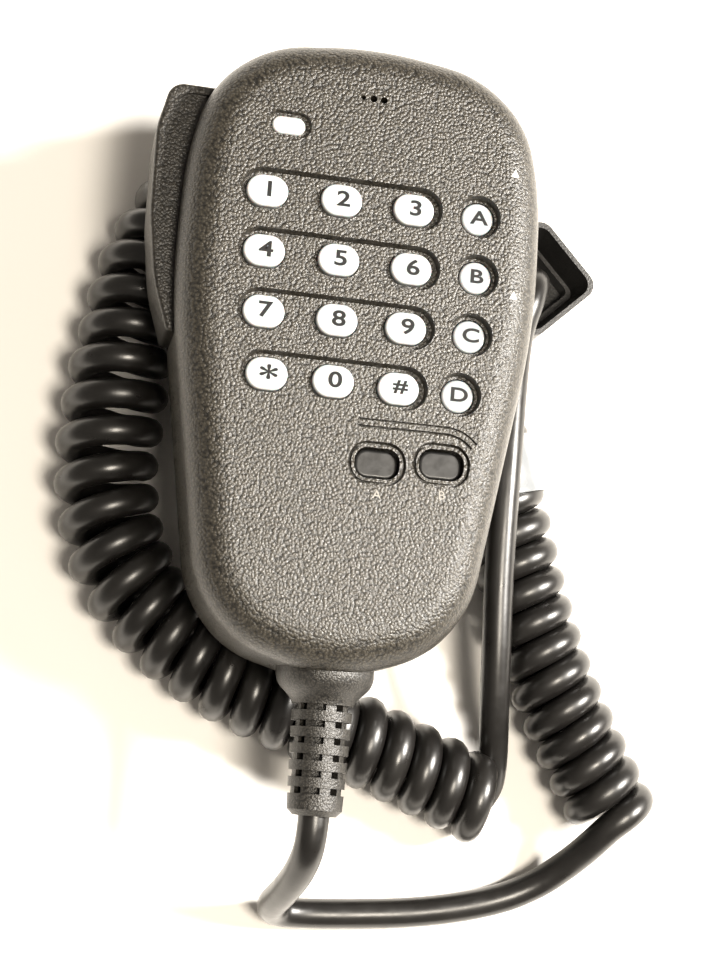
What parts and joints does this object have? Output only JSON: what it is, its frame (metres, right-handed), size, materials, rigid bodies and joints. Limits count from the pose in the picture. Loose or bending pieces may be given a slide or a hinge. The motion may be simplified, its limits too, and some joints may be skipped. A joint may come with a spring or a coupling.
{
  "type": "hand microphone",
  "caption": "Keypad hand microphone for a mobile radio, with a side talk key and a coiled cord ending in a square rubber plug boot.",
  "frame": {"origin": "centre of the hang-up button's neck where it meets the case's back", "axes": "+X to the right seen from the front, +Y towards the head, +Z out of the keypad face"},
  "size_m": [0.1135, 0.152, 0.0437],
  "materials": {
    "case_plastic": "pebble-grained charcoal moulding",
    "side_key_plastic": "fine-grained charcoal moulding",
    "key_white": "milky glossy plastic",
    "key_grey": "milky glossy plastic, slightly greyer",
    "button_rubber": "smooth satin rubber",
    "soft_rubber": "satin grained rubber",
    "cord_jacket": "glossy cord jacket",
    "tape": "translucent glossy tape",
    "clear_plastic": "milky window",
    "plug_plastic": "clear plug body",
    "gold_contact": "bright gilt",
    "steel": "plain bright steel",
    "hanger_metal": "satin nickel",
    "board_green": "green laminate",
    "component_black": "moulded component bodies",
    "component_tan": "ceramic",
    "led_yellow": "diffused lamp body",
    "felt_black": "thin black felt",
    "switch_body": "black switch bodies",
    "label_silver": "plain silver foil",
    "lead_wire": "thin insulated leads",
    "capsule_metal": "satin can"
  },
  "bodies": {
    "handset": {"front_cover": "case_plastic", "rear_cover": "case_plastic", "ptt_pin": "steel", "ptt_switch": "switch_body", "status_lens": "clear_plastic", "status_led": "led_yellow", "backlight_leds": "led_yellow", "keypad_mat": "soft_rubber", "mic_capsule": "capsule_metal", "mic_boot": "soft_rubber", "mic_felt": "felt_black", "main_board": "board_green", "board_screws": "steel", "case_screws": "steel", "tone_chip": "component_black", "crystal": "capsule_metal", "capacitors": "component_tan", "resistors": "component_black", "lead_connector": "key_white", "inner_leads": "lead_wire", "cable_clamp": "component_black", "slide_switches": "switch_body", "head_switches": "switch_body", "hanger_button": "hanger_metal", "hanger_screw": "steel", "rating_label": "label_silver", "strain_relief": "soft_rubber", "cord_lead": "cord_jacket", "cord_coil": "cord_jacket", "cord_tail": "cord_jacket", "cord_band": "tape", "plug_boot": "soft_rubber", "modular_plug": "plug_plastic", "plug_contacts": "gold_contact"},
    "key_1": {"key_1": "key_white"},
    "key_2": {"key_2": "key_white"},
    "key_3": {"key_3": "key_white"},
    "key_4": {"key_4": "key_white"},
    "key_5": {"key_5": "key_white"},
    "key_6": {"key_6": "key_white"},
    "key_7": {"key_7": "key_white"},
    "key_8": {"key_8": "key_white"},
    "key_9": {"key_9": "key_white"},
    "key_0": {"key_0": "key_white"},
    "key_star": {"key_star": "key_white"},
    "key_hash": {"key_hash": "key_white"},
    "key_a": {"key_a": "key_grey"},
    "key_b": {"key_b": "key_grey"},
    "key_c": {"key_c": "key_grey"},
    "key_d": {"key_d": "key_grey"},
    "button_a": {"button_a": "button_rubber"},
    "button_b": {"button_b": "button_rubber"},
    "up_button": {"up_button": "side_key_plastic"},
    "down_button": {"down_button": "side_key_plastic"},
    "lock_slider": {"lock_slider": "button_rubber"},
    "lamp_slider": {"lamp_slider": "button_rubber"},
    "ptt_plunger": {"ptt_plunger": "switch_body"},
    "ptt_lever": {"ptt_lever": "side_key_plastic", "ptt_spring": "steel"}
  },
  "joints": [
    {"name": "key_1_press", "type": "slide", "parent": "handset", "child": "key_1", "axis": [0, 0, -1], "range_m": [0, 0.0008], "stiffness_N_per_m": 250, "springref_m": -0.001},
    {"name": "key_2_press", "type": "slide", "parent": "handset", "child": "key_2", "axis": [0, 0, -1], "range_m": [0, 0.0008], "stiffness_N_per_m": 250, "springref_m": -0.001},
    {"name": "key_3_press", "type": "slide", "parent": "handset", "child": "key_3", "axis": [0, 0, -1], "range_m": [0, 0.0008], "stiffness_N_per_m": 250, "springref_m": -0.001},
    {"name": "key_4_press", "type": "slide", "parent": "handset", "child": "key_4", "axis": [0, 0, -1], "range_m": [0, 0.0008], "stiffness_N_per_m": 250, "springref_m": -0.001},
    {"name": "key_5_press", "type": "slide", "parent": "handset", "child": "key_5", "axis": [0, 0, -1], "range_m": [0, 0.0008], "stiffness_N_per_m": 250, "springref_m": -0.001},
    {"name": "key_6_press", "type": "slide", "parent": "handset", "child": "key_6", "axis": [0, 0, -1], "range_m": [0, 0.0008], "stiffness_N_per_m": 250, "springref_m": -0.001},
    {"name": "key_7_press", "type": "slide", "parent": "handset", "child": "key_7", "axis": [0, 0, -1], "range_m": [0, 0.0008], "stiffness_N_per_m": 250, "springref_m": -0.001},
    {"name": "key_8_press", "type": "slide", "parent": "handset", "child": "key_8", "axis": [0, 0, -1], "range_m": [0, 0.0008], "stiffness_N_per_m": 250, "springref_m": -0.001},
    {"name": "key_9_press", "type": "slide", "parent": "handset", "child": "key_9", "axis": [0, 0, -1], "range_m": [0, 0.0008], "stiffness_N_per_m": 250, "springref_m": -0.001},
    {"name": "key_0_press", "type": "slide", "parent": "handset", "child": "key_0", "axis": [0, 0, -1], "range_m": [0, 0.0008], "stiffness_N_per_m": 250, "springref_m": -0.001},
    {"name": "key_star_press", "type": "slide", "parent": "handset", "child": "key_star", "axis": [0, 0, -1], "range_m": [0, 0.0008], "stiffness_N_per_m": 250, "springref_m": -0.001},
    {"name": "key_hash_press", "type": "slide", "parent": "handset", "child": "key_hash", "axis": [0, 0, -1], "range_m": [0, 0.0008], "stiffness_N_per_m": 250, "springref_m": -0.001},
    {"name": "key_a_press", "type": "slide", "parent": "handset", "child": "key_a", "axis": [0, 0, -1], "range_m": [0, 0.0008], "stiffness_N_per_m": 250, "springref_m": -0.001},
    {"name": "key_b_press", "type": "slide", "parent": "handset", "child": "key_b", "axis": [0, 0, -1], "range_m": [0, 0.0008], "stiffness_N_per_m": 250, "springref_m": -0.001},
    {"name": "key_c_press", "type": "slide", "parent": "handset", "child": "key_c", "axis": [0, 0, -1], "range_m": [0, 0.0008], "stiffness_N_per_m": 250, "springref_m": -0.001},
    {"name": "key_d_press", "type": "slide", "parent": "handset", "child": "key_d", "axis": [0, 0, -1], "range_m": [0, 0.0008], "stiffness_N_per_m": 250, "springref_m": -0.001},
    {"name": "button_a_press", "type": "slide", "parent": "handset", "child": "button_a", "axis": [0, 0, -1], "range_m": [0, 0.0008], "stiffness_N_per_m": 250, "springref_m": -0.001},
    {"name": "button_b_press", "type": "slide", "parent": "handset", "child": "button_b", "axis": [0, 0, -1], "range_m": [0, 0.0008], "stiffness_N_per_m": 250, "springref_m": -0.001},
    {"name": "up_button_press", "type": "slide", "parent": "handset", "child": "up_button", "axis": [0, -1, 0], "range_m": [0, 0.0006], "stiffness_N_per_m": 250, "springref_m": -0.001},
    {"name": "down_button_press", "type": "slide", "parent": "handset", "child": "down_button", "axis": [0, -1, 0], "range_m": [0, 0.0006], "stiffness_N_per_m": 250, "springref_m": -0.001},
    {"name": "lock_slider_slide", "type": "slide", "parent": "handset", "child": "lock_slider", "axis": [0, 1, 0], "range_m": [0, 0.002]},
    {"name": "lamp_slider_slide", "type": "slide", "parent": "handset", "child": "lamp_slider", "axis": [0, 1, 0], "range_m": [0, 0.002]},
    {"name": "ptt_hinge", "type": "hinge", "parent": "handset", "child": "ptt_lever", "pos_m": [-0.027, -0.006, 0.0116], "axis": [0, 0, 1], "range_deg": [-3.5, 0], "stiffness_Nm_per_rad": 0.3, "springref_deg": 6.88},
    {"name": "ptt_plunger_slide", "type": "slide", "parent": "handset", "child": "ptt_plunger", "axis": [1, 0, 0], "range_m": [0, 0.0017]}
  ],
  "couplings": [
    {"joint": "ptt_plunger_slide", "follows": "ptt_hinge", "m_per_rad": -0.027}
  ]
}
